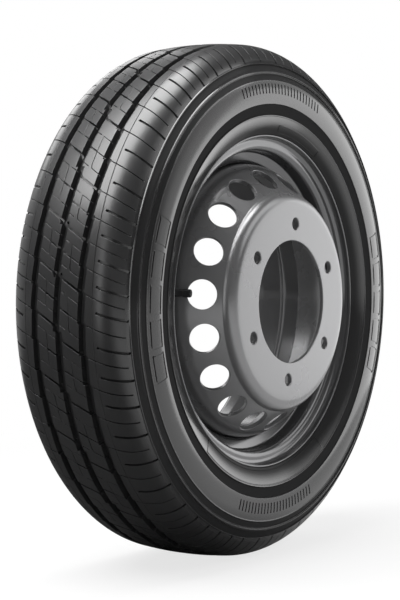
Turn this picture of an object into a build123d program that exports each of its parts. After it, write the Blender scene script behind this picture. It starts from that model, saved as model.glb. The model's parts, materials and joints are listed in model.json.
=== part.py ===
from build123d import *
from math import cos, pi, radians, sin, sqrt, tan
import os

# A van wheel: a tubeless radial tyre on a pressed steel twin-wheel rim, in millimetres.
# The wheel turns about Y, its outer face looks along -Y and +Z is up.
# The origin is on the axis, in the face that bolts to the hub.

# Rim band, to the 5 1/2 J x 16 drop-centre contour
rim_width = 139.7
seat_diameter = 405.6
flange_height = 17.3
flange_reach = 14.6
curl_radius = 9.5
rim_thickness = 3.0
seat_width = 20.0
seat_taper = 5.0
well_depth = 17.3
well_outer_edge = 42.5
well_inner_edge = 4.0
inner_slope_run = 14.0

# Wheel disc, pressed to a deep dish and welded into the rim well
hub_inset = 114.0
disc_thickness = 5.5
hub_bore = 161.0
bore_chamfer = 1.0
bolt_circle = 205.0
bolt_count = 6
bolt_hole = 16.0
bolt_chamfer = 1.2
first_bolt_angle = 25.0
face_bend = 15.5
hat_height = 13.1
hat_lean = 13.0
foot_bend = 4.0
wall_lean = 40.0
skirt_bend = 45.0
skirt_length = 39.0
skirt_reach = 20.3
vent_count = 18
vent_diameter = 38.0
vent_height = 27.5
weld_count = 8
weld_sweep = 28.0
weld_leg = 4.0

# Tyre, 185/75 R16
tyre_diameter = 684.0
section_width = 193.0
widest_share = 0.477
rib_drop = 1.6
crown_half_width = 50.0
crown_drop = 3.0
shoulder_half_width = 85.0
shoulder_drop = 27.8
shoulder_flats = 4
wall_flats = 3
crown_thickness = 15.5
sidewall_thickness = 8.0
heel_chamfer = 5.0
toe_height = 8.0
ridge_height = 1.4
upper_ridge_drop = 41.0
lower_ridge_drop = 5.8

# Tread pattern: three grooves, and cuts that repeat in four pitch lengths
groove_width = 8.6
groove_depth = 8.5
groove_spacing = 37.0
pitch_plan = 4 * "MMLLXXMSSSSL" + "LLXXLLMM"
pitch_weight = {"S": 6, "M": 7, "L": 8, "X": 9}
first_pitch_angle = 112.0
rib_shift = 12.0
rib_slant = 30.2
link_width = 3.0
link_depth = 7.0
link_bend = 10.0
cross_width = 2.0
cross_depth = 6.0
slit_width = 3.0
slit_slant = 20.0
slit_start = 55.0
slit_middle = 62.5
slit_depth = 4.0
slit_foot = 2.0

# Snap-in valve, square to the outer slope of the rim well and in line with a vent
valve_vent = 8
valve_hole = 11.3
collar_diameter = 13.4
collar_height = 3.0
collar_taper = 2.5
body_diameter = 11.6
bulb_diameter = 16.0
bulb_height = 8.0
bulb_taper = 3.5
stem_diameter = 8.8
stem_length = 24.0
tube_diameter = 7.7
shank_diameter = 5.6
core_bore = 5.2
air_bore = 3.0
tube_length = 33.0
core_length = 7.0
core_recess = 0.8
pin_diameter = 1.4
pin_recess = 0.3
poppet_diameter = 2.4
poppet_height = 1.2
cap_diameter = 9.6
cap_top = 1.6
seal_height = 1.0

# Clearances
bead_gap = 0.2
skirt_gap = 0.1
weld_gap = 0.05
rubber_gap = 0.3
valve_gap = 0.1
core_gap = 0.05

# How far a cutter stands out of what it cuts
overrun = 2.0

# Radii and places that follow from the sizes above
tyre_radius = tyre_diameter / 2
rim_half = rim_width / 2
seat_radius = seat_diameter / 2
flange_radius = seat_radius + flange_height
lip = rim_half + flange_reach
curl_centre = flange_radius - curl_radius
toe = rim_half - seat_width
ledge_radius = seat_radius - seat_width * tan(radians(seat_taper))
well_radius = seat_radius - well_depth
bore_radius = hub_bore / 2
skirt_radius = well_radius - rim_thickness - skirt_gap
skirt_end = hub_inset - well_outer_edge + skirt_reach
skirt_start = skirt_end - skirt_length
wall_fall = tan(radians(wall_lean))
foot_height = hat_height - disc_thickness
foot_radius = skirt_radius - (skirt_start - foot_height) * wall_fall
face_radius = foot_radius - hat_height * tan(radians(hat_lean))
vent_step = 360 / vent_count
vent_angles = [first_bolt_angle + vent_step * (i - 0.5) for i in range(vent_count)]
wheel_plane = Plane((0, hub_inset, 0))


def around(angle, radial, axial):
    """Vector with a radial part at an angle from +X towards +Z, and an axial part."""
    return Vector(radial * cos(radians(angle)), axial, radial * sin(radians(angle)))


def turned(angle, axial=0):
    """Placement on the axis, turned by an angle from +X towards +Z."""
    return Location((0, axial, 0), (0, -angle, 0))


# Pitch marks round the tread; links and cross slits take turns at the pitch middles
pitch_total = sum(pitch_weight[size] for size in pitch_plan)
pitch_angles = [360 * pitch_weight[size] / pitch_total for size in pitch_plan]
pitch_marks = [first_pitch_angle + sum(pitch_angles[:i]) for i in range(len(pitch_angles))]
pitch_middles = [mark + angle / 2 for mark, angle in zip(pitch_marks, pitch_angles)]
link_marks = pitch_middles[0::2]
cross_marks = pitch_middles[1::2]
half_turn = Location((0, 0, 0), (180, 0, 0))


def both_halves(marks):
    """Each mark on the outer half of the tread, and its half-turn image on the inner half."""
    outer = [turned(mark, hub_inset) for mark in marks]
    return outer + [place * half_turn for place in outer]


# Cutters are drawn over the crown, with X across the tread and Y round it
tread_plane = Plane((tyre_radius + overrun, 0, 0), x_dir=(0, 1, 0), z_dir=(1, 0, 0))
rib_edge = groove_spacing - groove_width / 4
rib_fall = tan(radians(rib_slant))
rib_start = (-rib_edge, -rib_shift)

# A link groove runs down the rib and bends into the centre groove
knee = groove_width / 2 + link_bend * (1 - sin(radians(rib_slant))) - link_width / 2
with BuildPart() as link_cutter:
    with BuildSketch(tread_plane):
        with BuildLine():
            run = Line(rib_start, (-knee, -rib_shift - (rib_edge - knee) * rib_fall))
            JernArc(run @ 1, run % 1, link_bend, rib_slant - 90)
        trace(line_width=link_width)
    extrude(amount=-(link_depth + overrun))

# A cross slit runs straight from groove to groove
with BuildPart() as cross_cutter:
    with BuildSketch(tread_plane):
        with BuildLine():
            Line(rib_start, (0, -rib_shift - rib_edge * rib_fall))
        trace(line_width=cross_width)
    extrude(amount=-(cross_depth + overrun))

# A shoulder slit follows the round of the shoulder down to the sidewall
slit_plane = Plane(
    (0, -slit_middle, 0),
    x_dir=(1, 0, 0),
    z_dir=(0, -sin(radians(slit_slant)), -cos(radians(slit_slant))),
)
slit_inner = (slit_start - slit_middle) / cos(radians(slit_slant))
slit_outer = (shoulder_half_width - slit_middle) / cos(radians(slit_slant))
with BuildPart() as slit_cutter:
    with BuildSketch(slit_plane):
        Polygon(
            (tyre_radius + overrun, slit_inner),
            (tyre_radius - crown_drop - slit_depth, slit_inner),
            (tyre_radius - shoulder_drop - slit_foot, slit_outer),
            (tyre_radius + overrun, slit_outer),
            align=None,
        )
    extrude(amount=slit_width / 2, both=True)

# Tyre: the outer half of the section, mirrored and turned, then the tread is cut
crown_edge = (tyre_radius - crown_drop, -crown_half_width)
rib_corner = (tyre_radius - rib_drop, -groove_spacing - groove_width / 2)
buttress = (tyre_radius - shoulder_drop, -shoulder_half_width)
widest_radius = flange_radius + widest_share * (buttress[0] - flange_radius)
widest = (widest_radius, -section_width / 2)
bead_face = rim_half - bead_gap
bead_top = flange_radius + bead_gap
bead_corner = (curl_radius + bead_gap) * tan(pi / 8)
foot = (bead_top, -lip)


def flats(arc, count):
    """Points that share an arc out into flats of one length."""
    return [arc @ (i / count) for i in range(count + 1)]


def on_wall(wall, radius):
    """Point of a sidewall arc at a given distance from the axis."""
    rise = radius - widest_radius
    return (radius, widest[1] + wall.radius - sqrt(wall.radius**2 - rise**2))


with BuildPart() as tyre:
    with BuildSketch(wheel_plane):
        with BuildLine():
            Line((tyre_radius, 0), rib_corner)
            shoulder_rib = Line(rib_corner, crown_edge)
            shoulder = TangentArc(crown_edge, buttress, tangent=shoulder_rib % 1, mode=Mode.PRIVATE)
            upper_wall = TangentArc(widest, buttress, tangent=(1, 0), mode=Mode.PRIVATE)
            lower_wall = TangentArc(widest, foot, tangent=(-1, 0), mode=Mode.PRIVATE)
            Polyline(*flats(shoulder, shoulder_flats))
            Polyline(*flats(upper_wall, wall_flats))
            Polyline(*flats(lower_wall, wall_flats))
            Polyline(
                foot,
                (bead_top, bead_corner - rim_half - curl_radius),
                (curl_centre + bead_corner, -bead_face),
                (seat_radius + heel_chamfer, -bead_face),
                (seat_radius + bead_gap, heel_chamfer - bead_face),
                (ledge_radius + bead_gap, -toe),
                (ledge_radius + toe_height, -toe),
                (bead_top + sidewall_thickness, -rim_half - sidewall_thickness / 2),
                (widest_radius, sidewall_thickness - section_width / 2),
                (tyre_radius - shoulder_drop - crown_thickness, crown_thickness / 2 - shoulder_half_width),
                (tyre_radius - crown_drop - crown_thickness, -crown_half_width),
                (tyre_radius - crown_thickness, 0),
                (tyre_radius, 0),
            )
        make_face()
        with Locations(
            on_wall(upper_wall, tyre_radius - upper_ridge_drop),
            on_wall(lower_wall, widest_radius - lower_ridge_drop),
        ):
            RegularPolygon(radius=ridge_height, side_count=4)
        mirror(about=Plane.XZ)
    revolve(axis=Axis.Y)
    with BuildSketch(wheel_plane):
        with GridLocations(0, groove_spacing, 1, 3):
            with Locations((tyre_radius, 0)):
                Rectangle(2 * groove_depth, groove_width)
    revolve(axis=Axis.Y, mode=Mode.SUBTRACT)
    with Locations(*both_halves(link_marks)):
        add(link_cutter.part, mode=Mode.SUBTRACT)
    with Locations(*both_halves(cross_marks)):
        add(cross_cutter.part, mode=Mode.SUBTRACT)
    with Locations(*both_halves(pitch_marks)):
        add(slit_cutter.part, mode=Mode.SUBTRACT)

# Valve axis: from the middle of the rim's outer slope, square to it
slope_fall = ledge_radius - well_radius
slope_run = toe - well_outer_edge
slope_length = sqrt(slope_fall**2 + slope_run**2)
valve_angle = vent_angles[valve_vent]
valve_axis = around(valve_angle, -slope_run / slope_length, -slope_fall / slope_length)
slope_middle = around(valve_angle, (ledge_radius + well_radius) / 2, hub_inset - (toe + well_outer_edge) / 2)
valve_seat = slope_middle + valve_axis * rim_thickness
valve_side = around(valve_angle + 90, 1, 0)
valve_plane = Plane(valve_seat, x_dir=valve_side, z_dir=valve_axis)
valve_section = Plane(valve_seat, x_dir=valve_side, z_dir=valve_side.cross(valve_axis))
valve_line = Axis(valve_seat, valve_axis)

# Rim: one band of sheet, drawn along its tyre side from lip to lip
with BuildPart() as rim:
    with BuildSketch(wheel_plane):
        with BuildLine():
            Line((flange_radius, -lip), (flange_radius, -rim_half - curl_radius))
            JernArc((flange_radius, -rim_half - curl_radius), (0, 1), curl_radius, 90)
            Polyline(
                (curl_centre, -rim_half),
                (seat_radius, -rim_half),
                (ledge_radius, -toe),
                (well_radius, -well_outer_edge),
                (well_radius, well_inner_edge),
                (ledge_radius, well_inner_edge + inner_slope_run),
                (ledge_radius, toe),
                (seat_radius, rim_half),
                (curl_centre, rim_half),
            )
            JernArc((curl_centre, rim_half), (1, 0), curl_radius, 90)
            Line((flange_radius, rim_half + curl_radius), (flange_radius, lip))
            offset(amount=rim_thickness, side=Side.LEFT, kind=Kind.INTERSECTION)
        make_face()
    revolve(axis=Axis.Y)
    with BuildSketch(valve_plane):
        Circle(valve_hole / 2)
    extrude(amount=2 * rim_thickness, both=True, mode=Mode.SUBTRACT)

# Wheel disc: hub face on a low hat, leaning wall with the vents, and the skirt in the rim well
vent_radius = foot_radius + (vent_height - foot_height) * wall_fall
vent_planes = [
    Plane(around(angle, vent_radius, vent_height),
          z_dir=around(angle, cos(radians(wall_lean)), -sin(radians(wall_lean))))
    for angle in vent_angles
]
with BuildPart() as wheel_disc:
    with BuildSketch(Plane.XY):
        with BuildLine():
            FilletPolyline(
                (bore_radius, -disc_thickness),
                (face_radius, -disc_thickness),
                (foot_radius, foot_height),
                (skirt_radius, skirt_start),
                (skirt_radius, skirt_end),
                radius=[face_bend, foot_bend, skirt_bend],
            )
            offset(amount=disc_thickness, side=Side.LEFT, kind=Kind.INTERSECTION)
        make_face()
    revolve(axis=Axis.Y)
    with BuildSketch(*vent_planes):
        Circle(vent_diameter / 2)
    extrude(amount=2 * disc_thickness, both=True, mode=Mode.SUBTRACT)
    with BuildSketch(Plane.XZ):
        with PolarLocations(bolt_circle / 2, bolt_count, first_bolt_angle):
            Circle(bolt_hole / 2)
    extrude(amount=2 * disc_thickness, both=True, mode=Mode.SUBTRACT)
    with BuildSketch(Plane.XZ.offset(disc_thickness)):
        with PolarLocations(bolt_circle / 2, bolt_count, first_bolt_angle):
            Circle(bolt_hole / 2 + bolt_chamfer)
        Circle(bore_radius + bore_chamfer)
    extrude(amount=-bolt_chamfer, taper=45, mode=Mode.SUBTRACT)

# Fillet welds between the end of the skirt and the rim well
weld_radius = well_radius - rim_thickness - weld_gap
weld_base = skirt_end + weld_gap
with BuildPart() as weld_run:
    with BuildSketch(Plane.XY):
        Polygon(
            (weld_radius, weld_base),
            (weld_radius - weld_leg, weld_base),
            (weld_radius, weld_base + weld_leg),
            align=None,
        )
    revolve(axis=Axis.Y, revolution_arc=weld_sweep)
with BuildPart() as weld_beads:
    with Locations(*[turned(i * 360 / weld_count) for i in range(weld_count)]):
        add(weld_run.part)

# Valve body: rubber snapped into the rim, with a neck in the hole and a bulb inside the tyre
neck_radius = valve_hole / 2 - rubber_gap
shank_radius = shank_diameter / 2
inside = -rim_thickness - rubber_gap
with BuildPart() as valve_stem:
    with BuildSketch(valve_section):
        Polygon(
            (shank_radius + core_gap, inside - bulb_height),
            (bulb_diameter / 2 - bulb_taper, inside - bulb_height),
            (bulb_diameter / 2, inside - bulb_taper),
            (bulb_diameter / 2, inside),
            (neck_radius, inside),
            (neck_radius, rubber_gap),
            (collar_diameter / 2, rubber_gap),
            (collar_diameter / 2, collar_height),
            (body_diameter / 2, collar_height + collar_taper),
            (stem_diameter / 2, stem_length),
            (shank_radius + core_gap, stem_length),
            align=None,
        )
    revolve(axis=valve_line)

# Brass tube bonded in the rubber, with the core's bore in its outer end
tube_base = stem_length + core_gap
core_seat = tube_length - core_recess - core_length
with BuildPart() as valve_tube:
    with BuildSketch(valve_section):
        Polygon(
            (air_bore / 2, inside - bulb_height),
            (shank_radius, inside - bulb_height),
            (shank_radius, tube_base),
            (tube_diameter / 2, tube_base),
            (tube_diameter / 2, tube_length),
            (core_bore / 2, tube_length),
            (core_bore / 2, core_seat),
            (air_bore / 2, core_seat),
            align=None,
        )
    revolve(axis=valve_line)

# Valve core: a plug screwed into the tube, and the pin that it guides
pin_radius = pin_diameter / 2
core_base = core_seat + core_gap
with BuildPart() as valve_core:
    with BuildSketch(valve_section):
        Polygon(
            (pin_radius + core_gap, core_base),
            (core_bore / 2 - core_gap, core_base),
            (core_bore / 2 - core_gap, core_seat + core_length),
            (pin_radius + core_gap, core_seat + core_length),
            align=None,
        )
    revolve(axis=valve_line)

poppet_top = core_base - core_gap
with BuildPart() as valve_pin:
    with BuildSketch(valve_section):
        Polygon(
            (0, poppet_top - poppet_height),
            (poppet_diameter / 2, poppet_top - poppet_height),
            (poppet_diameter / 2, poppet_top),
            (pin_radius, poppet_top),
            (pin_radius, tube_length - pin_recess),
            (0, tube_length - pin_recess),
            align=None,
        )
    revolve(axis=valve_line)

# Cap over the tube's end, with a flat seal under its top
seal_base = tube_length + valve_gap
cap_ceiling = seal_base + seal_height + core_gap
cap_bore = tube_diameter / 2 + valve_gap
with BuildPart() as valve_cap:
    with BuildSketch(valve_section):
        Polygon(
            (cap_bore, stem_length + rubber_gap),
            (cap_diameter / 2, stem_length + rubber_gap),
            (cap_diameter / 2, cap_ceiling),
            (cap_diameter / 2 - cap_top / 2, cap_ceiling + cap_top),
            (0, cap_ceiling + cap_top),
            (0, cap_ceiling),
            (cap_bore, cap_ceiling),
            align=None,
        )
    revolve(axis=valve_line)

with BuildPart() as cap_seal:
    with BuildSketch(valve_section):
        with Locations((0, seal_base)):
            Rectangle(tube_diameter / 2, seal_height, align=(Align.MIN, Align.MIN))
    revolve(axis=valve_line)

pieces = {
    "tyre": tyre,
    "rim": rim,
    "wheel_disc": wheel_disc,
    "weld_beads": weld_beads,
    "valve_stem": valve_stem,
    "valve_tube": valve_tube,
    "valve_core": valve_core,
    "valve_pin": valve_pin,
    "valve_cap": valve_cap,
    "cap_seal": cap_seal,
}
os.makedirs("parts", exist_ok=True)
for node, piece in pieces.items():
    piece.part.label = node
    export_step(piece.part, f"parts/{node}.step")
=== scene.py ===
import json
from math import asin, atan2, cos, pi, radians, sin, sqrt, tan

import bpy
from mathutils import Matrix, Vector

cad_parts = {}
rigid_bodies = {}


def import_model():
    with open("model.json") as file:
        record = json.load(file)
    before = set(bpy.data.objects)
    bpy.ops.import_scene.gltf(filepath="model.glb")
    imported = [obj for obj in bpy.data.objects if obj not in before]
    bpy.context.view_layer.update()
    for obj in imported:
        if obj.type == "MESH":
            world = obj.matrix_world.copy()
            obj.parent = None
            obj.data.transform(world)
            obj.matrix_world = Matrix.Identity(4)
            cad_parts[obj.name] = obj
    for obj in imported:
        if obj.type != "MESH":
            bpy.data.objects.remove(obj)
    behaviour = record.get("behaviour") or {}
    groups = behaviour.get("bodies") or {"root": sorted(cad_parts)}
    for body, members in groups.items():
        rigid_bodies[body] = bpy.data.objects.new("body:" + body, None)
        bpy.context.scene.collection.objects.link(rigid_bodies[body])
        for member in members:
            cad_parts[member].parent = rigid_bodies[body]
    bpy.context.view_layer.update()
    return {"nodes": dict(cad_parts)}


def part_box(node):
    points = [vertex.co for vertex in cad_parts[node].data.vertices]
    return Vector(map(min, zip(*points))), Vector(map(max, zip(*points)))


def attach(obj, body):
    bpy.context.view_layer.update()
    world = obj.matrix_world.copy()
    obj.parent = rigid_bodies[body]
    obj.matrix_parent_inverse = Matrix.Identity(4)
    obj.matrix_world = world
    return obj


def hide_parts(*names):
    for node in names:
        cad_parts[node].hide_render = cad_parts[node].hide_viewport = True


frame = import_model()
nodes = frame["nodes"]
scene = bpy.context.scene
scene.view_settings.view_transform = "Standard"

tyreLow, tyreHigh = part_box("tyre")
middle = (tyreLow.y + tyreHigh.y) / 2       # centre plane of the tyre
groundLevel = tyreLow.z
print("frame loaded, tyre", round(tyreHigh.z - tyreLow.z, 4), "m across")

wheelCentre, wheelAxis = (0, middle, 0), (0, 1, 0)
outerSide = Vector((0, -1, 0))              # away from the vehicle
smoothAngle = radians(32)                   # sharper edges stay hard
roundSteps = 4                              # steps of a quarter round


# Places on the wheel in millimetres: out from the axis and across from the tyre's middle; turns in radians

def spot(out, across, turn=0.0):
    return Vector((out * cos(turn) / 1000, middle + across / 1000, out * sin(turn) / 1000))


def outwards(turn):
    return Vector((cos(turn), 0, sin(turn)))


# Modelling: one vertex is pulled along a line, then spun, thickened or cut

def startPiece(name):
    bpy.ops.object.select_all(action="DESELECT")
    bpy.ops.mesh.primitive_plane_add(size=0.01)
    piece = bpy.context.object
    piece.name = name
    piece.data.name = name
    bpy.ops.object.mode_set(mode="EDIT")
    bpy.ops.mesh.delete(type="VERT")
    return piece


def drawLine(points):
    bpy.ops.mesh.select_all(action="DESELECT")
    bpy.ops.mesh.primitive_plane_add(size=0.0001, location=points[0])
    bpy.ops.mesh.merge(type="CENTER")
    for here, there in zip(points, points[1:]):
        bpy.ops.mesh.extrude_region_move(TRANSFORM_OT_translate={"value": there - here})


def drawWall(points, upright, under, over):
    drawLine([points[0] - upright * under / 1000, points[0] + upright * over / 1000])
    bpy.ops.mesh.select_linked()
    for here, there in zip(points, points[1:]):
        bpy.ops.mesh.extrude_region_move(TRANSFORM_OT_translate={"value": there - here})


def mergeDoubles():
    bpy.ops.mesh.select_all(action="SELECT")
    bpy.ops.mesh.remove_doubles(threshold=1e-6)


def closeMesh():
    mergeDoubles()
    bpy.ops.mesh.normals_make_consistent(inside=False)
    bpy.ops.object.mode_set(mode="OBJECT")


def spinLine(points, turns, centre, axis):
    drawLine(points)
    mergeDoubles()
    bpy.ops.mesh.spin(steps=turns, angle=2 * pi, center=centre, axis=axis)
    closeMesh()


def thicken(piece, width):
    bpy.ops.object.mode_set(mode="OBJECT")
    bpy.ops.object.modifier_add(type="SOLIDIFY")
    sheet = piece.modifiers[-1]
    sheet.thickness = width / 1000
    sheet.offset = 0
    bpy.ops.object.modifier_apply(modifier=sheet.name)
    bpy.ops.object.mode_set(mode="EDIT")
    closeMesh()


def pickOut(piece):
    bpy.ops.object.select_all(action="DESELECT")
    piece.select_set(True)
    bpy.context.view_layer.objects.active = piece


def smoothPiece(piece):
    pickOut(piece)
    bpy.ops.object.shade_smooth_by_angle(angle=smoothAngle)


def joinTools(tools):
    pickOut(tools[0])
    for tool in tools:
        tool.select_set(True)
    bpy.ops.object.join()
    return tools[0]


def carve(piece, tools, operation="DIFFERENCE"):
    tool = joinTools(tools)
    pickOut(piece)
    bpy.ops.object.modifier_add(type="BOOLEAN")
    cut = piece.modifiers[-1]
    cut.operation = operation
    cut.solver = "MANIFOLD"
    cut.object = tool
    bpy.ops.object.modifier_apply(modifier=cut.name)
    bpy.data.objects.remove(tool)


def evenly(first, last, steps):
    return [first + (last - first) * i / steps for i in range(steps + 1)]


# Tyre section, half of it from the crown to the inside of the crown

tyreShape = {
    "radius": 341.8,
    "crownBend": 450,
    "crownEdge": 50,
    "shoulderFoot": (314.2, 85),
    "widest": (270, 96.5),
    "beadFoot": (220.4, 84.4),
    "turns": 336,
    "crownSteps": 10,
    "fineRing": {"at": 50.9, "half": 0.5, "depth": 0.9},
    "shoulderSteps": 12,
    # moulded rings down the sidewall, as distance from the axis and height
    "rings": [
        (313.3, 0), (312.9, 1.1), (312.1, 1.1), (311.5, -0.5), (307.3, -0.5), (303.1, -0.5), (302.2, 0),
        (301.7, 1.2), (300.5, 1.2), (299.9, 0), (299.2, 0), (298.9, 0.5), (298.5, 0.5), (298.0, -0.5),
        (294.5, -0.5), (291.0, -0.5), (290.5, 0.4), (289.6, 0.4), (289.1, 0), (284, 0), (279, 0), (274, 0),
        (269, 0), (265, 0), (262, 0), (259.6, 0), (258.9, -1.0), (252.5, -1.0), (246.0, -1.0), (245.2, 0),
        (244.8, 0.5), (243.8, 0.5), (243.3, 0), (238, 0), (233, 0), (228, 0), (224, 0),
    ],
    # hidden bead and inner lining
    "lining": [
        (220.3, 75.3), (214.6, 69.6), (207.8, 69.6), (203, 64.6), (201.2, 49.9), (209, 49.9), (228.3, 73.9),
        (265, 88.5), (298.7, 77.3), (323.5, 50), (326.3, 0),
    ],
}


def crownAt(across):
    return tyreShape["radius"] - tyreShape["crownBend"] + sqrt(tyreShape["crownBend"] ** 2 - across ** 2)


crownTilt = asin(tyreShape["crownEdge"] / tyreShape["crownBend"])
shoulderTop = Vector((crownAt(tyreShape["crownEdge"]), tyreShape["crownEdge"]))
shoulderNormal = Vector((cos(crownTilt), sin(crownTilt)))
shoulderChord = Vector(tyreShape["shoulderFoot"]) - shoulderTop
shoulderBend = shoulderChord.length_squared / (-2 * shoulderChord.dot(shoulderNormal))
shoulderCentre = shoulderTop - shoulderBend * shoulderNormal


def treadAt(across):
    reach = abs(across)
    if reach <= tyreShape["crownEdge"]:
        return crownAt(reach)
    return shoulderCentre.x + sqrt(shoulderBend ** 2 - (reach - shoulderCentre.y) ** 2)


def wallAt(out):
    widestOut, widestAcross = tyreShape["widest"]
    endOut, endAcross = tyreShape["shoulderFoot"] if out > widestOut else tyreShape["beadFoot"]
    drop = widestAcross - endAcross
    bend = ((endOut - widestOut) ** 2 + drop ** 2) / (2 * drop)
    return widestAcross - bend + sqrt(bend ** 2 - (out - widestOut) ** 2)


def tyreSection():
    crown = [(crownAt(a), a) for a in evenly(0, tyreShape["crownEdge"], tyreShape["crownSteps"])]
    footAcross = tyreShape["shoulderFoot"][1]
    shoulderEnd = asin((footAcross - shoulderCentre.y) / shoulderBend)
    shoulder = [
        (shoulderCentre.x + shoulderBend * cos(tilt), shoulderCentre.y + shoulderBend * sin(tilt))
        for tilt in evenly(crownTilt, shoulderEnd, tyreShape["shoulderSteps"])
    ]
    ring = tyreShape["fineRing"]
    notch = [
        (treadAt(ring["at"] - ring["half"]), ring["at"] - ring["half"]),
        (treadAt(ring["at"]) - ring["depth"], ring["at"]),
        (treadAt(ring["at"] + ring["half"]), ring["at"] + ring["half"]),
    ]
    wall = [(out, wallAt(out) + height) for out, height in tyreShape["rings"]]
    half = crown + notch + shoulder[1:] + wall + [tyreShape["beadFoot"]] + tyreShape["lining"]
    far = [spot(out, across) for out, across in reversed(half)]
    near = [spot(out, -across) for out, across in half]
    return far[:-1] + near + [far[0]]


def spinTyre():
    tyre = startPiece("tyre_moulded")
    spinLine(tyreSection(), tyreShape["turns"], wheelCentre, wheelAxis)
    return tyre


# Tread pattern in four pitch lengths; sizes in millimetres, turns measured along the crown

tread = {
    "pitchPlan": 4 * "MMLLXXMSSSSL" + "LLXXLLMM",
    "pitchWeight": {"S": 6, "M": 7, "L": 8, "X": 9},
    "firstMark": 112,
    "shoulderLine": -62.5,
    "slitLean": 0.362,
    "sipeLean": 0.415,
    "ribTop": (-12.0, -33.0),
    "ribLean": 0.583,
    "cutOver": 3,
    "slit": {"from": -55, "to": -85.5, "width": 3, "depth": 4.2},
    "shoulderSipe": {"from": -40, "to": -83, "width": 1.3, "depth": 3.5},
    "link": {"from": -38, "knee": -10, "bend": 10, "bendSteps": 5, "width": 3, "depth": 7},
    "crossSipe": {"from": -36, "to": -17, "width": 1.3, "depth": 5},
    "crossSlit": {"from": -17, "to": -2, "width": 2.3, "depth": 6},
    "lowSipe": {"from": -12.5, "to": -2, "width": 1, "depth": 5},
    "bridge": {"from": -34, "level": -17, "round": 4, "ahead": 0.6, "under": 1.4, "width": 1, "depth": 5},
    "groove": {"width": 10.4, "depth": 8.5, "lap": 0.3, "steps": 6},
    "sideGroove": (-37.0, -34.6),
    "midGroove": (-1.9, 1.9),
    "grooveBreak": -10.6,
}

pitchTotal = sum(tread["pitchWeight"][size] for size in tread["pitchPlan"])
pitchTurns = [2 * pi * tread["pitchWeight"][size] / pitchTotal for size in tread["pitchPlan"]]
pitchCount = len(pitchTurns)
pitchMarks = [radians(tread["firstMark"]) + sum(pitchTurns[:i]) for i in range(pitchCount + 1)]
pitchMiddles = [(here + there) / 2 for here, there in zip(pitchMarks, pitchMarks[1:])]
pitchMiddles.append(pitchMiddles[0] + 2 * pi)
linkMarks = pitchMiddles[0:pitchCount:2]
crossMarks = pitchMiddles[1:pitchCount:2]


def ribShift(across):
    topShift, topAcross = tread["ribTop"]
    return topShift - tread["ribLean"] * (across - topAcross)


def ribLine(first, last, steps=4):
    return [(ribShift(across), across) for across in evenly(first, last, steps)]


def shoulderRun(lean, first, last, steps=6):
    return [(lean * (tread["shoulderLine"] - across), across) for across in evenly(first, last, steps)]


def linkRun():
    link = tread["link"]
    straight = ribLine(link["from"], link["knee"])
    lean = asin(tread["ribLean"] / sqrt(1 + tread["ribLean"] ** 2))
    kneeShift, knee = straight[-1]
    bend = [
        (kneeShift - link["bend"] * (cos(lean) - cos(tilt)), knee + link["bend"] * (sin(tilt) - sin(lean)))
        for tilt in evenly(lean, pi / 2, link["bendSteps"])
    ]
    return straight + bend[1:]


def bridgeRun(index):
    # two rib sipes joined across the slit between them, square at one corner and round at the other
    bridge = tread["bridge"]
    left = pitchMarks[index] * tyreShape["radius"]
    right = pitchMarks[index + 1] * tyreShape["radius"]
    level, turnIn = bridge["level"], bridge["round"]
    rise = level - turnIn
    corner = right + ribShift(level)
    return [
        (left + ribShift(bridge["from"]), bridge["from"]),
        (left + ribShift(level), level),
        (corner - turnIn, level),
        (corner + bridge["ahead"], level - bridge["under"]),
        (right + ribShift(rise), rise),
        (right + ribShift(bridge["from"]), bridge["from"]),
    ]


def drawCut(mark, run, depth):
    points = [spot(treadAt(across), across, mark + shift / tyreShape["radius"]) for shift, across in run]
    drawWall(points, outwards(mark + run[0][0] / tyreShape["radius"]), depth, tread["cutOver"])


def halfTurn(run):
    return [(-shift, -across) for shift, across in run]


def cutTool(name, cut, marks, run):
    tool = startPiece(name)
    for mark in marks:
        drawCut(mark, run, cut["depth"])
        drawCut(mark, halfTurn(run), cut["depth"])
    thicken(tool, cut["width"])
    return tool


def bridgeTool():
    tool = startPiece("bridge_tool")
    for index in range(1, pitchCount, 2):
        run = bridgeRun(index)
        centre = pitchMiddles[index] * tyreShape["radius"]
        drawCut(0, run, tread["bridge"]["depth"])
        drawCut(0, [(2 * centre - shift, -across) for shift, across in run], tread["bridge"]["depth"])
    thicken(tool, tread["bridge"]["width"])
    return tool


def grooveBar(first, last, fromAcross, toAcross):
    groove = tread["groove"]
    lap = groove["lap"] / tyreShape["radius"]
    turns = evenly(first - lap, last + lap, groove["steps"])
    levels = evenly(fromAcross, toAcross, groove["steps"])
    run = [(turn * tyreShape["radius"], across) for turn, across in zip(turns, levels)]
    drawCut(0, run, groove["depth"])


def grooveTool(start):
    # every second bar, so that no two bars of one tool meet
    tool = startPiece("groove_tool")
    shift = tread["grooveBreak"] / tyreShape["radius"]
    low, high = tread["sideGroove"]
    for i in range(start, pitchCount, 2):
        grooveBar(pitchMiddles[i] + shift, pitchMiddles[i + 1] + shift, low, high)
        grooveBar(pitchMiddles[i] - shift, pitchMiddles[i + 1] - shift, -high, -low)
    breaks = crossMarks + [crossMarks[0] + 2 * pi]
    for i in range(start, len(crossMarks), 2):
        grooveBar(breaks[i], breaks[i + 1], *tread["midGroove"])
    thicken(tool, tread["groove"]["width"])
    return tool


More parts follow.
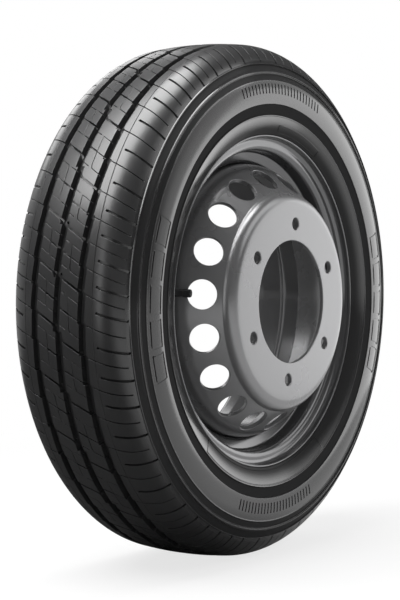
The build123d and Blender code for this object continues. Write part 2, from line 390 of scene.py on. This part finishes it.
def cutTread(tyre):
    marks = pitchMarks[:pitchCount]
    middles = pitchMiddles[:pitchCount]
    slit, sipe, cross = tread["slit"], tread["shoulderSipe"], tread["crossSlit"]
    fine, low = tread["crossSipe"], tread["lowSipe"]
    carve(tyre, [
        cutTool("slit_tool", slit, marks, shoulderRun(tread["slitLean"], slit["from"], slit["to"])),
        cutTool("link_tool", tread["link"], linkMarks, linkRun()),
        cutTool("cross_tool", cross, crossMarks, ribLine(cross["from"], cross["to"])),
        cutTool("low_tool", low, marks, ribLine(low["from"], low["to"])),
    ])
    carve(tyre, [
        cutTool("sipe_tool", sipe, middles, shoulderRun(tread["sipeLean"], sipe["from"], sipe["to"])),
        cutTool("fine_tool", fine, crossMarks, ribLine(fine["from"], fine["to"])),
    ])
    carve(tyre, [bridgeTool()])
    carve(tyre, [grooveTool(0)])
    carve(tyre, [grooveTool(1)])


# Ribbed panels on the outer sidewall, as turns from and to, and distances from the axis

panels = {
    "places": [(68, 107, 273, 286), (251, 288, 266, 280)],
    "step": 1.6,
    "levels": 4,
    "width": 2.6,
    "depth": 0.8,
}


def panelTool():
    tool = startPiece("panel_tool")
    for first, last, low, high in panels["places"]:
        count = round((last - first) / panels["step"])
        for angle in evenly(radians(first), radians(last), count):
            points = [spot(out, -wallAt(out), angle) for out in evenly(low, high, panels["levels"])]
            drawWall(points, outerSide, panels["depth"], tread["cutOver"])
    thicken(tool, panels["width"])
    return tool


# Bare frames near the bead, raised, as turns from and to, and distances from the axis

frames = {
    "places": [(60, 86, 223.6, 233.2), (229, 301, 224, 242.2)],
    "step": 2,
    "levels": 5,
    "width": 0.8,
    "root": 1,
    "height": 0.45,
}


def frameLoop(first, last, low, high):
    turns = evenly(radians(first), radians(last), round((last - first) / frames["step"]))
    levels = evenly(high, low, frames["levels"])[1:-1]
    loop = [(high, turn) for turn in turns] + [(out, turns[-1]) for out in levels]
    loop += [(low, turn) for turn in turns[::-1]] + [(out, turns[0]) for out in levels[::-1]]
    points = [spot(out, -wallAt(out), turn) for out, turn in loop]
    return points + points[:1]


def frameRibs():
    ribs = startPiece("frame_ribs")
    for place in frames["places"]:
        drawWall(frameLoop(*place), outerSide, frames["root"], frames["height"])
    thicken(ribs, frames["width"])
    return ribs


# Rows of bare boxes on the outer sidewall, cut as outlines

boxes = {
    "rows": [(-23, 20, 266, 286), (157, 200, 264, 284)],
    "count": 5,
    "share": 0.8,
    "width": 2.6,
    "depth": 0.8,
}


def boxTool():
    tool = startPiece("box_tool")
    for first, last, low, high in boxes["rows"]:
        step = (last - first) / boxes["count"]
        for start in evenly(first, last, boxes["count"])[:-1]:
            loop = frameLoop(start, start + step * boxes["share"], low, high)
            drawWall(loop, outerSide, boxes["depth"], tread["cutOver"])
    thicken(tool, boxes["width"])
    return tool


# Bent sheet: a line with rounded corners, and the same line moved over by the sheet's thickness

def bentLine(corners, step=radians(9)):
    # points of the line, each with the direction square to it, on the left
    first, last = Vector(corners[0][:2]), Vector(corners[-1][:2])
    line = []
    for before, corner, after in zip(corners, corners[1:], corners[2:]):
        at, bend = Vector(corner[:2]), corner[2]
        come = (at - Vector(before[:2])).normalized()
        go = (Vector(after[:2]) - at).normalized()
        swing = atan2(come.cross(go), come.dot(go))
        side = 1 if swing > 0 else -1
        start = at - come * bend * tan(abs(swing) / 2)
        centre = start + side * bend * Vector((-come.y, come.x))
        steps = max(2, round(abs(swing) / step))
        if len(corner) > 3:
            line.append((start - come * corner[3], Vector((-come.y, come.x))))
        for turn in evenly(0, swing, steps):
            square = Vector((-come.y, come.x))
            square.rotate(Matrix.Rotation(turn, 2))
            line.append((centre - side * bend * square, square))
    opening = Vector(corners[1][:2]) - first
    closing = last - Vector(corners[-2][:2])
    squares = [Vector((-way.y, way.x)).normalized() for way in (opening, closing)]
    return [(first, squares[0])] + line + [(last, squares[1])]


def sheetEnd(at, square, ahead, thickness, edge):
    # rounded edge of the sheet, from its drawn side to the other
    near, far = [], []
    for t in evenly(0, pi / 2, roundSteps):
        rise, back = edge * (1 - cos(t)), edge * (sin(t) - 1)
        near.append(at + square * rise + ahead * back)
        far.append(at + square * (thickness - rise) + ahead * back)
    return near + far[::-1]


def sheetSection(corners, thickness, edge):
    line = bentLine(corners)
    (first, firstSquare), (last, lastSquare) = line[0], line[-1]
    drawn = [at for at, square in line[1:-1]]
    moved = [at + square * thickness for at, square in line[1:-1]]
    end = sheetEnd(last, lastSquare, Vector((lastSquare.y, -lastSquare.x)), thickness, edge)
    start = sheetEnd(first, firstSquare, Vector((-firstSquare.y, firstSquare.x)), thickness, edge)
    return drawn + end + moved[::-1] + start[::-1]


def spinSheet(name, shape):
    sheet = startPiece(name)
    line = sheetSection(shape["line"], shape["thickness"], shape["edge"])
    section = [spot(out, across) for out, across in line]
    spinLine(section + [section[0]], shape["turns"], wheelCentre, wheelAxis)
    return sheet


def smoothSheet(sheet):
    # large faces set the shading, so that holes leave no streaks round them
    smoothPiece(sheet)
    bpy.ops.object.modifier_add(type="WEIGHTED_NORMAL")
    weighted = sheet.modifiers[-1]
    weighted.keep_sharp = True
    weighted.weight = 80
    bpy.ops.object.modifier_apply(modifier=weighted.name)


holeReach = {"over": 6, "under": 14}        # how far a cutter stands out of the sheet, and goes into it


def holeTool(name, places, hole):
    # cutters with a rounded lip, each at a place on the surface and along the way out of it
    tool = startPiece(name)
    radius, lip = hole["radius"], hole["lip"]
    over, under = holeReach["over"], -holeReach["under"]
    rounding = [(radius + lip * (1 - sin(t)), lip * (cos(t) - 1)) for t in evenly(0, pi / 2, roundSteps)]
    shape = [(0, over), (radius + lip, over)] + rounding + [(radius, under), (0, under)]
    for place, way in places:
        side = way.orthogonal().normalized()
        drawLine([place + (side * out + way * rise) / 1000 for out, rise in shape])
        bpy.ops.mesh.select_linked()
        bpy.ops.mesh.spin(steps=hole["turns"], angle=2 * pi, center=place, axis=way)
    closeMesh()
    return tool


def holeTurns(holes):
    return [radians(holes["first"] + 360 * i / holes["count"]) for i in range(holes["count"])]


# Rim band, along its tyre side from lip to lip: distance from the axis, place across, bend

rimShape = {
    "line": [
        (220.1, -84.4), (220.1, -69.85, 9.5), (202.8, -69.85, 5), (201.05, -49.85, 6), (185.5, -42.5, 6),
        (185.5, 4, 8), (201.05, 18, 8), (201.05, 49.85, 20), (202.8, 69.85, 5), (220.1, 69.85, 9.5),
        (220.1, 84.4),
    ],
    "thickness": 3,
    "edge": 1.4,
    "turns": 240,
    "valveHole": {"radius": 5.65, "lip": 0.4, "turns": 40},
}

# where the valve stands on the rim's slope, and which way it points, inwards and along
valveLine = {"seat": (191.99, -48.89), "way": (-0.42733, -0.9041), "turn": radians(175)}
valveSeat = spot(*valveLine["seat"], valveLine["turn"])
valveWay = outwards(valveLine["turn"]) * valveLine["way"][0] + Vector((0, valveLine["way"][1], 0))


def rollRim():
    rim = spinSheet("rim_rolled", rimShape)
    carve(rim, [holeTool("valve_hole_tool", [(valveSeat, valveWay)], rimShape["valveHole"])])
    return rim


# Wheel disc, along its outer side from the hub bore to the end of the skirt; a fourth number keeps a whole
# strip of the face between the bolt holes and the bend

discShape = {
    "line": [
        (80.5, -119.5), (141.45, -119.5, 15.5, 6), (144.47, -106.4, 4), (182.4, -61.2, 45), (182.4, -22.2),
    ],
    "thickness": 5.5,
    "edge": 1.0,
    "turns": 240,
    "bolts": {"count": 6, "first": 25, "circle": 102.5, "radius": 8, "lip": 1.2, "turns": 40},
    "vents": {
        "count": 18, "first": 15, "place": (161.17, -86.5), "lean": 40,
        "radius": 18.9, "lip": 1.5, "turns": 64,
    },
}


def pressDisc():
    disc = spinSheet("disc_pressed", discShape)
    bolts, vents = discShape["bolts"], discShape["vents"]
    face = discShape["line"][0][1]
    lean = radians(vents["lean"])
    boltHoles = [(spot(bolts["circle"], face, turn), outerSide) for turn in holeTurns(bolts)]
    ventHoles = [
        (spot(*vents["place"], turn), outwards(turn) * cos(lean) + outerSide * sin(lean))
        for turn in holeTurns(vents)
    ]
    carve(disc, [holeTool("bolt_hole_tool", boltHoles, bolts), holeTool("vent_tool", ventHoles, vents)])
    return disc


# Valve cap: distance from the valve's line and height over its seat, then grip grooves

capShape = {
    "line": [
        (3.95, 24.3), (4.9, 24.3), (5.2, 24.7), (5.2, 33.0), (5.05, 33.9), (4.6, 34.8), (3.9, 35.4),
        (2.9, 35.75), (0, 35.75), (0, 34.15), (3.95, 34.15),
    ],
    "turns": 60,
    "grooves": 15,
    "groove": {"at": 5.2, "from": 25.6, "to": 33.6, "width": 0.8, "depth": 0.4, "over": 1},
}


def capSpot(out, rise, angle):
    side = valveWay.orthogonal().normalized()
    across = valveWay.cross(side)
    return valveSeat + (valveWay * rise + (side * cos(angle) + across * sin(angle)) * out) / 1000


def turnCap():
    cap = startPiece("cap_grooved")
    line = [capSpot(out, rise, 0) for out, rise in capShape["line"]]
    spinLine(line + [line[0]], capShape["turns"], valveSeat, valveWay)
    groove = capShape["groove"]
    tool = startPiece("grip_tool")
    for angle in evenly(0, 2 * pi, capShape["grooves"])[1:]:
        points = [capSpot(groove["at"], rise, angle) for rise in (groove["from"], groove["to"])]
        upright = (capSpot(1, 0, angle) - capSpot(0, 0, angle)).normalized()
        drawWall(points, upright, groove["depth"], groove["over"])
    thicken(tool, groove["width"])
    carve(cap, [tool])
    return cap


tyre = spinTyre()
print("tyre spun,", len(tyre.data.polygons), "faces")
cutTread(tyre)
print("tread cut,", len(tyre.data.polygons), "faces")
carve(tyre, [panelTool(), boxTool()])
carve(tyre, [frameRibs()], "UNION")
print("sidewall panels and frames made,", len(tyre.data.polygons), "faces")
smoothPiece(tyre)
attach(tyre, "wheel")
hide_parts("tyre")

rim, disc = rollRim(), pressDisc()
for sheet, node, finish in ((rim, "rim", "rim_paint"), (disc, "wheel_disc", "disc_paint")):
    smoothSheet(sheet)
    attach(sheet, "wheel")
    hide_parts(node)
    print(sheet.name, "made,", len(sheet.data.polygons), "faces")

cap = turnCap()
smoothPiece(cap)
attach(cap, "cap")
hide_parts("valve_cap")
print("cap made,", len(cap.data.polygons), "faces")


# Finishes: a socket that takes part in sums, and a material that adds nodes by one method

class Wire:
    def __init__(self, finish, socket):
        self.finish = finish
        self.socket = socket

    def sum(self, operation, first, second):
        return self.finish.node("ShaderNodeMath", {"operation": operation}, {0: first, 1: second})

    def __add__(self, other):
        return self.sum("ADD", self, other)

    def __radd__(self, other):
        return self.sum("ADD", other, self)

    def __sub__(self, other):
        return self.sum("SUBTRACT", self, other)

    def __rsub__(self, other):
        return self.sum("SUBTRACT", other, self)

    def __mul__(self, other):
        return self.sum("MULTIPLY", self, other)

    def __rmul__(self, other):
        return self.sum("MULTIPLY", other, self)

    def __pow__(self, other):
        return self.sum("POWER", self, other)


class Tree:
    def __init__(self, tree):
        self.tree = tree

    def feed(self, socket, value):
        if isinstance(value, Wire):
            self.tree.links.new(value.socket, socket)
        else:
            socket.default_value = value

    def node(self, kind, settings, sockets, output=0):
        made = self.tree.nodes.new(kind)
        for key, value in settings.items():
            setattr(made, key, value)
        for key, value in sockets.items():
            self.feed(made.inputs[key], value)
        return Wire(self, made.outputs[output])


class Finish(Tree):
    def __init__(self, name):
        self.material = bpy.data.materials.new(name)
        self.material.use_nodes = True
        super().__init__(self.material.node_tree)
        self.shader = self.tree.nodes["Principled BSDF"]

    def place(self):
        return self.node("ShaderNodeTexCoord", {}, {}, "Object")

    def part(self, vector, axis):
        return self.node("ShaderNodeSeparateXYZ", {}, {0: vector}, axis)

    def noise(self, scale, detail, rough=0.55):
        return self.node("ShaderNodeTexNoise", {}, {
            "Vector": self.place(), "Scale": scale, "Detail": detail, "Roughness": rough})

    def between(self, value, low, high, soft):
        # 1 from low to high, falling to 0 over the soft width outside
        rise = self.node("ShaderNodeMapRange", {"interpolation_type": "SMOOTHSTEP"}, {
            "Value": value, "From Min": low - soft, "From Max": low})
        fall = self.node("ShaderNodeMapRange", {"interpolation_type": "SMOOTHSTEP"}, {
            "Value": value, "From Min": high, "From Max": high + soft})
        return rise * (1 - fall)

    def colours(self, mask, dark, light):
        # inputs 6 and 7 are the two colours, output 2 their mix
        return self.node("ShaderNodeMix", {"data_type": "RGBA"}, {
            "Factor": mask, 6: (*dark, 1), 7: (*light, 1)}, 2)

    def bump(self, height, strength, distance, edge):
        # grain over edges that are rounded off by a small radius
        rounded = self.node("ShaderNodeBevel", {"samples": 6}, {"Radius": edge})
        return self.node("ShaderNodeBump", {}, {
            "Strength": strength, "Distance": distance, "Height": height, "Normal": rounded})

    def wear(self, piece):
        piece.data.materials.clear()
        piece.data.materials.append(self.material)


tyreFinish = {
    "black": (0.018, 0.018, 0.0185),
    "grey": (0.027, 0.027, 0.0277),
    "deep": (0.02, 0.02, 0.0205, 1),
    "treadRoughness": 0.31,
    "wallRoughness": 0.14,
    "shine": 0.8,
    "matShine": 0.15,
    "matRoughness": 0.85,
    "cloud": 14,
    "cloudSpread": 0.05,
    # the sidewall, in metres from the axis, and how softly it ends
    "wallStart": 0.2,
    "wallEdge": 0.314,
    "wallSoft": 0.004,
    # matt rings of the sidewall, in metres from the axis, how matt, and how soft their edges are
    "mats": [
        (0.3031, 0.3116, 0.9, 0.0006), (0.2908, 0.2982, 0.9, 0.0006), (0.2456, 0.2590, 1, 0.0006),
        (0.2000, 0.2255, 0.9, 0.0165),
    ],
    "grain": 900,
    "grainStrength": 0.15,
    "grainHeight": 0.00006,
    "treadEdge": 0.0007,
    "wallEdgeRound": 0.00025,
}


def tyreRubber():
    rubber = Finish("tyre_rubber")
    place = rubber.place()
    x, z = rubber.part(place, "X"), rubber.part(place, "Z")
    out = (x * x + z * z) ** 0.5
    wall = rubber.between(out, tyreFinish["wallStart"], tyreFinish["wallEdge"], tyreFinish["wallSoft"])
    mat = sum(rubber.between(out, low, high, soft) * share for low, high, share, soft in tyreFinish["mats"])
    cloud = rubber.noise(tyreFinish["cloud"], detail=4)
    grain = rubber.noise(tyreFinish["grain"], detail=2)
    sockets = rubber.shader.inputs
    rubber.feed(sockets["Base Color"], rubber.colours(cloud, tyreFinish["black"], tyreFinish["grey"]))
    rough, smooth = tyreFinish["treadRoughness"], tyreFinish["wallRoughness"]
    roughness = rough - wall * (rough - smooth)
    rubber.feed(sockets["Roughness"], roughness + (cloud - 0.5) * tyreFinish["cloudSpread"])
    wide, fine = tyreFinish["treadEdge"], tyreFinish["wallEdgeRound"]
    edge = wide - wall * (wide - fine)
    bump = rubber.bump(grain, tyreFinish["grainStrength"], tyreFinish["grainHeight"], edge)
    rubber.feed(sockets["Normal"], bump)
    sockets["Specular IOR Level"].default_value = tyreFinish["shine"]
    matt = rubber.node("ShaderNodeBsdfPrincipled", {}, {
        "Base Color": tyreFinish["deep"],
        "Roughness": tyreFinish["matRoughness"],
        "Specular IOR Level": tyreFinish["matShine"],
    })
    glossy = Wire(rubber, rubber.shader.outputs[0])
    both = rubber.node("ShaderNodeMixShader", {}, {0: mat, 1: glossy, 2: matt})
    rubber.feed(rubber.tree.nodes["Material Output"].inputs[0], both)
    return rubber


paintFinish = {
    "rim": (0.16, 0.16, 0.163),
    "rimRoughness": 0.17,
    "disc": (0.27, 0.27, 0.275),
    "discRoughness": 0.28,
    "metallic": 0.6,
    "cloud": 9,
    "cloudShade": 0.86,
    "cloudSpread": 0.08,
    "peel": 260,
    "peelStrength": 0.4,
    "peelHeight": 0.00004,
    "edge": 0.0008,
}


def wheelPaint(name, colour, roughness):
    paint = Finish(name)
    cloud = paint.noise(paintFinish["cloud"], detail=4)
    peel = paint.noise(paintFinish["peel"], detail=2)
    darker = tuple(paintFinish["cloudShade"] * channel for channel in colour)
    bump = paint.bump(peel, paintFinish["peelStrength"], paintFinish["peelHeight"], paintFinish["edge"])
    sockets = paint.shader.inputs
    paint.feed(sockets["Base Color"], paint.colours(cloud, darker, colour))
    paint.feed(sockets["Roughness"], roughness + (cloud - 0.5) * paintFinish["cloudSpread"])
    paint.feed(sockets["Normal"], bump)
    sockets["Metallic"].default_value = paintFinish["metallic"]
    return paint


valveFinish = {
    "rubber": (0.014, 0.014, 0.015),
    "rubberRoughness": 0.6,
    "cap": (0.018, 0.018, 0.019),
    "capRoughness": 0.42,
    "cloud": 160,
    "cloudShade": 1.7,
    "cloudSpread": 0.15,
    "grain": 2500,
    "grainStrength": 0.4,
    "grainHeight": 0.00003,
    "edge": 0.0005,
}


def valveBlack(name, colour, roughness):
    black = Finish(name)
    cloud = black.noise(valveFinish["cloud"], detail=3)
    grain = black.noise(valveFinish["grain"], detail=2)
    lighter = tuple(valveFinish["cloudShade"] * channel for channel in colour)
    bump = black.bump(grain, valveFinish["grainStrength"], valveFinish["grainHeight"], valveFinish["edge"])
    sockets = black.shader.inputs
    black.feed(sockets["Base Color"], black.colours(cloud, colour, lighter))
    black.feed(sockets["Roughness"], roughness + (cloud - 0.5) * valveFinish["cloudSpread"])
    black.feed(sockets["Normal"], bump)
    return black


brassFinish = {
    "colour": (0.62, 0.45, 0.19),
    "roughness": 0.28,
    "cloud": 220,
    "cloudShade": 0.7,
    "cloudSpread": 0.15,
}


def valveBrass():
    brass = Finish("valve_brass")
    cloud = brass.noise(brassFinish["cloud"], detail=3)
    dark = tuple(brassFinish["cloudShade"] * channel for channel in brassFinish["colour"])
    sockets = brass.shader.inputs
    brass.feed(sockets["Base Color"], brass.colours(cloud, dark, brassFinish["colour"]))
    brass.feed(sockets["Roughness"], brassFinish["roughness"] + cloud * brassFinish["cloudSpread"])
    sockets["Metallic"].default_value = 1.0
    return brass


tyreRubber().wear(tyre)
wheelPaint("rim_paint", paintFinish["rim"], paintFinish["rimRoughness"]).wear(rim)
discPaint = wheelPaint("disc_paint", paintFinish["disc"], paintFinish["discRoughness"])
for piece in (disc, nodes["weld_beads"]):
    discPaint.wear(piece)
stemRubber = valveBlack("valve_rubber", valveFinish["rubber"], valveFinish["rubberRoughness"])
for name in ("valve_stem", "cap_seal"):
    stemRubber.wear(nodes[name])
valveBlack("cap_plastic", valveFinish["cap"], valveFinish["capRoughness"]).wear(cap)
brass = valveBrass()
for name in ("valve_tube", "valve_core", "valve_pin"):
    brass.wear(nodes[name])
print("finishes on")


# Studio: pale floor, soft lights and the photo's camera

studio = {
    "aim": (-0.0125, 0.1322, -0.0005),
    "azimuth": -55.68,
    "elevation": 2.345,
    "distance": 2.3693,
    "lens": 105.2,
    "sensor": 36,
    "floorSize": 40,
    "floorRoughness": 0.9,
    "floorDark": (0.04, 0.04, 0.04),
    "floorPale": (0.85, 0.85, 0.85),
    "floorFade": (0.5, 1.5),
    "floorGlow": 0.75,
    "floorBounce": 0.5,
    "world": 0.08,
    "fill": 0.26,
    # the lit sides of the studio's walls and floor, which paint and rubber mirror
    "litWalls": [
        {"way": (0.88, -0.47, 0.05), "from": 0.85, "to": 0.98, "share": 1},
        {"way": (0.1, 0.99, 0.1), "from": 0.75, "to": 0.95, "share": 0.5},
    ],
    "litFloor": [
        {"way": (0.55, -0.83, 0), "from": -0.1, "to": 0.25, "share": 1},
        {"way": (0.4, 0.9, 0), "from": 0.9, "to": 1.8, "share": 0.5},
    ],
    "lamps": {
        "right_softbox": {"at": (1.69, -0.46, 0.05), "size": (1.25, 1.2), "power": 7.5},
        "front_softbox": {"at": (0.75, -1.4, 1.25), "size": (1.9, 0.9), "power": 9},
        "top_softbox": {"at": (-0.45, 0.28, 1.25), "size": (0.88, 1.9), "power": 40},
        "back_softbox": {"at": (0.6, 1.6, 1.05), "size": (1.6, 0.6), "power": 8},
        "left_strip": {"at": (-2.2, 0.05, 0.3), "size": (0.5, 1.4), "power": 4},
    },
}


def setCamera():
    azimuth, elevation = radians(studio["azimuth"]), radians(studio["elevation"])
    back = Vector((sin(azimuth) * cos(elevation), -cos(azimuth) * cos(elevation), sin(elevation)))
    bpy.ops.object.camera_add(location=Vector(studio["aim"]) + studio["distance"] * back)
    camera = bpy.context.object
    camera.rotation_mode = "QUATERNION"
    camera.rotation_quaternion = (-back).to_track_quat("-Z", "Y")
    camera.data.lens = studio["lens"]
    camera.data.sensor_width = studio["sensor"]
    scene.camera = camera


def seenWhite(tree, bare, lit):
    # the share of white for the camera, straight or through glass, and for what a surface mirrors
    path = tree.node("ShaderNodeLightPath", {}, {}, "Is Camera Ray")
    ways = path.socket.node.outputs
    return (path + Wire(tree, ways["Is Transmission Ray"])) * bare + Wire(tree, ways["Is Glossy Ray"]) * lit


def litSide(tree, vector, side):
    along = tree.node("ShaderNodeVectorMath", {"operation": "DOT_PRODUCT"}, {0: vector, 1: side["way"]}, 1)
    return tree.node("ShaderNodeMapRange", {"interpolation_type": "SMOOTHSTEP"}, {
        "Value": along, "From Min": side["from"], "From Max": side["to"], "To Max": side["share"]})


def setWorld():
    scene.world = bpy.data.worlds.new("studio_white")
    scene.world.use_nodes = True
    tree = Tree(scene.world.node_tree)
    light = tree.tree.nodes["Background"]
    soft = tree.node("ShaderNodeLightPath", {}, {}, "Is Diffuse Ray")
    tree.feed(light.inputs["Strength"], studio["world"] + soft * studio["fill"])
    light.inputs["Color"].default_value = (1, 1, 1, 1)
    white = tree.node("ShaderNodeBackground", {}, {"Color": (1, 1, 1, 1)})
    way = tree.node("ShaderNodeTexCoord", {}, {}, "Generated")
    lit = sum(litSide(tree, way, side) for side in studio["litWalls"])
    dim = Wire(tree, light.outputs[0])
    mix = tree.node("ShaderNodeMixShader", {}, {0: seenWhite(tree, 1.0, lit), 1: dim, 2: white})
    tree.feed(tree.tree.nodes["World Output"].inputs[0], mix)


def setFloor():
    bpy.ops.object.select_all(action="DESELECT")
    bpy.ops.mesh.primitive_plane_add(size=studio["floorSize"], location=(0, 0, groundLevel))
    floor = bpy.context.object
    floor.name = "studio_floor"
    pale = Finish("floor_white")
    place = pale.place()
    seen = pale.node("ShaderNodeLightPath", {}, {}, "Is Camera Ray")
    bounce = Wire(pale, seen.socket.node.outputs["Is Diffuse Ray"]) * studio["floorBounce"]
    colour = pale.colours(seen + bounce, studio["floorDark"], studio["floorPale"])
    pale.feed(pale.shader.inputs["Base Color"], colour)
    pale.shader.inputs["Roughness"].default_value = studio["floorRoughness"]
    glow = pale.node("ShaderNodeEmission", {}, {})
    away = pale.node("ShaderNodeVectorMath", {"operation": "LENGTH"}, {0: place}, 1)
    near, far = studio["floorFade"]
    bare = pale.node("ShaderNodeMapRange", {"interpolation_type": "SMOOTHSTEP"}, {
        "Value": away, "From Min": near, "From Max": far, "To Min": studio["floorGlow"]})
    lit = sum(litSide(pale, place, side) for side in studio["litFloor"])
    white = seenWhite(pale, bare, lit)
    shaded = Wire(pale, pale.shader.outputs[0])
    mix = pale.node("ShaderNodeMixShader", {}, {0: white, 1: shaded, 2: glow})
    pale.feed(pale.tree.nodes["Material Output"].inputs[0], mix)
    pale.wear(floor)


def setLamps():
    for name, lamp in studio["lamps"].items():
        bpy.ops.object.light_add(type="AREA", location=lamp["at"])
        made = bpy.context.object
        made.name = name
        made.rotation_mode = "QUATERNION"
        made.rotation_quaternion = (Vector(wheelCentre) - Vector(lamp["at"])).to_track_quat("-Z", "Y")
        made.data.shape = "RECTANGLE"
        made.data.size, made.data.size_y = lamp["size"]
        made.data.energy = lamp["power"]


setCamera()
setWorld()
setFloor()
setLamps()
print("studio set")
